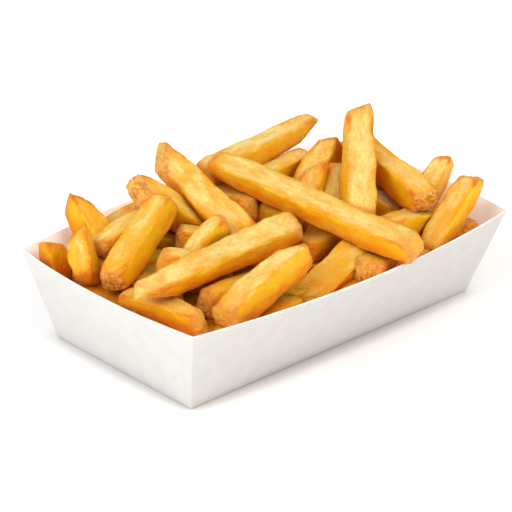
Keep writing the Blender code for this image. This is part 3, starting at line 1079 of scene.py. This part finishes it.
@dataclass
class Heap:
    """The heap of fries over its core. Fries are in millimetres, the core in metres."""

    tray: Tray
    crust: Material
    deep_rows: int = 7
    deep_pitch: float = 13.0
    deep_side: float = 38.0
    deep_level: float = 24.5
    deep_thickness: float = 12.0
    half_span: float = 37.0
    deep_seed: int = 5
    bedding_level: float = 29.5
    bedding_pitch: Pair = (20.0, 22.0)
    core_top: float = 0.0200
    core_dome: float = 0.0060
    core_waves: float = 0.0012
    core_inset: float = 0.0012
    core_cuts: tuple[int, int] = (60, 12)
    noise_seed: int = 11
    deep_noise_seed: int = 29

    def ends(self, middle: Pair, heading: float, half: float, levels: Pair) -> list[Triple]:
        """Places a fry's ends, both held off the tray's long walls.

        Args:
            middle: Its middle, along and across the tray.
            heading: Its direction from the tray's length, in degrees.
            half: Half its length.
            levels: The heights of its ends.

        Returns:
            The two ends.
        """
        turn = math.radians(heading)
        made = []
        for sign, level in zip((-1, 1), levels):
            across = middle[1] + sign * (math.sin(turn) * half)
            across = max(-self.half_span, min(self.half_span, across))
            made.append((middle[0] + sign * (math.cos(turn) * half), across, level))
        return made

    def deep_fries(self) -> list[Fry]:
        """Lays the fries that fill the tray under the rest, row by row."""
        dice = random.Random(self.deep_seed)
        size = (self.deep_thickness, self.deep_thickness)
        made = []
        for row in range(self.deep_rows):
            for end in (-1, 1):
                middle = (end * self.deep_side + dice.uniform(-4, 4),
                          (row - (self.deep_rows - 1) / 2) * self.deep_pitch)
                heading, half = dice.uniform(-9, 9), dice.uniform(31, 36)
                level = self.deep_level + dice.uniform(-2, 2)
                rise = dice.uniform(-3, 3)
                ends = self.ends(middle, heading, half, (level - rise, level + rise))
                # Deep fries take a darker tone, partly their own colour and partly painted shade for
                # lying under the rest
                made.append(Fry(f"deep_{row}_{end}", *ends, size, size, skin=Skin(0.4)))
        return made

    def bedding(self) -> list[Fry]:
        """Lays uneven fries crosswise over the deep ones, and more along the walls."""
        dice = random.Random(self.deep_seed + 1)
        # These and the fries along the walls take darker tones, partly their own colour and partly
        # painted shade for lying low in the heap
        made = []
        for row in range(-1, 2):
            for column in range(-3, 4):
                heading, half = dice.uniform(15, 165), dice.uniform(17, 23)
                middle = (column * self.bedding_pitch[0] + dice.uniform(-4, 4),
                          row * self.bedding_pitch[1] + dice.uniform(-3, 3))
                level = self.bedding_level - 2.0 * abs(row) + dice.uniform(-1, 1)
                levels = (level - dice.uniform(0, 2), level + dice.uniform(0, 2))
                ends = self.ends(middle, heading, half, levels)
                size = (dice.uniform(10, 12.5), dice.uniform(9.5, 11))
                made.append(Fry(f"bedding_{row}_{column}", *ends, size, size[::-1],
                                dice.uniform(-20, 20), skin=Skin(0.3, 0.6, 0.6)))
        size = (self.deep_thickness, self.deep_thickness - 1.5)
        skin = Skin(0.4, 0.6, 0.6)
        for side in (-1, 1):
            for third in (-1, 0, 1):
                x, y = third * 44 + dice.uniform(-4, 4), side * (47 - 4 * abs(third))
                level = self.deep_level + dice.uniform(0, 4)
                made.append(Fry(f"by_long_wall_{side}_{third}", (x - 23, y - 1.5, level),
                                (x + 23, y + 1.5, level + 1.5), size, size, skin=skin))
            x, y = side * 80, dice.uniform(-6, 6)
            made.append(Fry(f"by_short_wall_{side}", (x, y - 26, self.deep_level + 1),
                            (x + 1, y + 26, self.deep_level + 3), size, size, skin=skin))
        return made

    def core(self) -> Object:
        """Fills the tray under the fries with a low, uneven mound."""
        bm = cube_grid(*self.core_cuts)
        bottom = self.tray.board + self.tray.clearance
        for vert in bm.verts:
            x, y = vert.co.x, vert.co.y
            dome = self.core_dome * (1 - x * x) * (1 - y * y)
            waves = self.core_waves * math.sin(9 * x + 2) * math.cos(7 * y)
            top = self.core_top + dome + waves
            level = bottom + (vert.co.z + 1) / 2 * (top - bottom)
            vert.co = self.tray.flare(x, y, level, self.tray.board + self.core_inset)
        bm.verts.index_update()
        points = np.array([v.co for v in bm.verts])
        quads = np.array([[v.index for v in f.verts] for f in bm.faces])
        bm.free()
        # The core takes painted shade, as if low on a fry and deep in the heap, and a dark tone
        values = {name: np.zeros(len(points)) for name in FRY_VALUES}
        for name, value in (("crisp", 0.2), ("low", 0.6), ("tone", 0.5), ("buried", 1.0)):
            values[name][:] = value
        made = values | {"points": points, "quads": quads, "grain": points / MM}
        return join_pieces("core_of_heap", [made], self.crust)

    def build(self) -> None:
        """Makes the core and every layer of fries."""
        self.core()
        cutter = FryCutter(self.tray)
        for number, (layer, fries) in enumerate(HEAP.items()):
            cutter.cook(layer.value, fries, VOXELS[layer], self.noise_seed + number, self.crust)
        deep = (*self.deep_fries(), *self.bedding())
        cutter.cook(Layer.DEEP.value, deep, VOXELS[Layer.DEEP], self.deep_noise_seed, self.crust)


# -------------------- studio


@dataclass(frozen=True)
class Studio:
    """A white floor, soft light from above and the left, and the camera."""

    aim: Pair = (0.0355, 0.0434)
    heading: float = 44.87
    dip: float = 25.37
    tilt: float = 2.0
    distance: float = 1.0534
    lens: float = 168.75
    floor_size: float = 3.0
    sky: float = 0.56
    key_power: float = 9.7
    key_place: Triple = (-1.10, -0.02, 0.85)
    fill_power: float = 7.3
    fill_tint: Triple = (1.0, 0.90, 0.80)
    fill_place: Triple = (0.10, -0.85, 1.05)
    lit_point: Triple = (0.0, 0.0, 0.03)
    light_size: float = 0.9

    def camera(self) -> None:
        """Places the camera by its heading, dip and tilt, all in degrees."""
        place = Matrix.Translation((*self.aim, 0))
        for angle, axis in ((-self.heading, "Z"), (90 - self.dip, "X"), (self.tilt, "Z")):
            place @= Matrix.Rotation(math.radians(angle), 4, axis)
        data = bpy.data.cameras.new("camera")
        data.lens = self.lens
        camera = bpy.data.objects.new("camera", data)
        camera.matrix_world = place @ Matrix.Translation((0, 0, self.distance))
        show(camera)
        bpy.context.scene.camera = camera

    def hang(self, name: str, power: float, place: Triple, tint: Triple = (1, 1, 1)) -> None:
        """Hangs a square soft light that faces the heap.

        Args:
            name: The light's name.
            power: Its power in watts.
            place: Where it hangs.
            tint: Its colour.
        """
        data = bpy.data.lights.new(name, "AREA")
        data.energy = power
        data.size = self.light_size
        data.color = tint
        light = bpy.data.objects.new(name, data)
        light.location = place
        aim = Vector(self.lit_point) - light.location
        light.rotation_euler = aim.to_track_quat("-Z", "Y").to_euler()
        show(light)

    def lights(self) -> None:
        """Lights the room evenly, the left from a key and the front from a warm fill."""
        world = bpy.data.worlds.new("room")
        world.use_nodes = True
        background = world.node_tree.nodes["Background"]
        background.inputs["Color"].default_value = (1, 1, 1, 1)
        background.inputs["Strength"].default_value = self.sky
        bpy.context.scene.world = world
        self.hang("key", self.key_power, self.key_place)
        self.hang("fill", self.fill_power, self.fill_place, self.fill_tint)
        bpy.context.scene.view_settings.view_transform = "Standard"

    def floor(self) -> None:
        """Lays the floor."""
        bm = bmesh.new()
        bmesh.ops.create_grid(bm, x_segments=1, y_segments=1, size=self.floor_size / 2)
        mesh = bpy.data.meshes.new("floor")
        bm.to_mesh(mesh)
        bm.free()
        mesh.materials.append(StudioPaper().material())
        floor = bpy.data.objects.new("floor", mesh)
        show(floor)


def main() -> None:
    """Builds the tray, the heap and the studio, in that order."""
    noise.seed_set(NOISE_SEED)
    logging.basicConfig(level=logging.INFO, format="%(name)s: %(message)s")
    tray = Tray()
    tray.build(FoldingBoard())
    Heap(tray, FriedCrust().material()).build()
    studio = Studio()
    studio.floor()
    studio.lights()
    studio.camera()


if __name__ == "__main__":
    main()
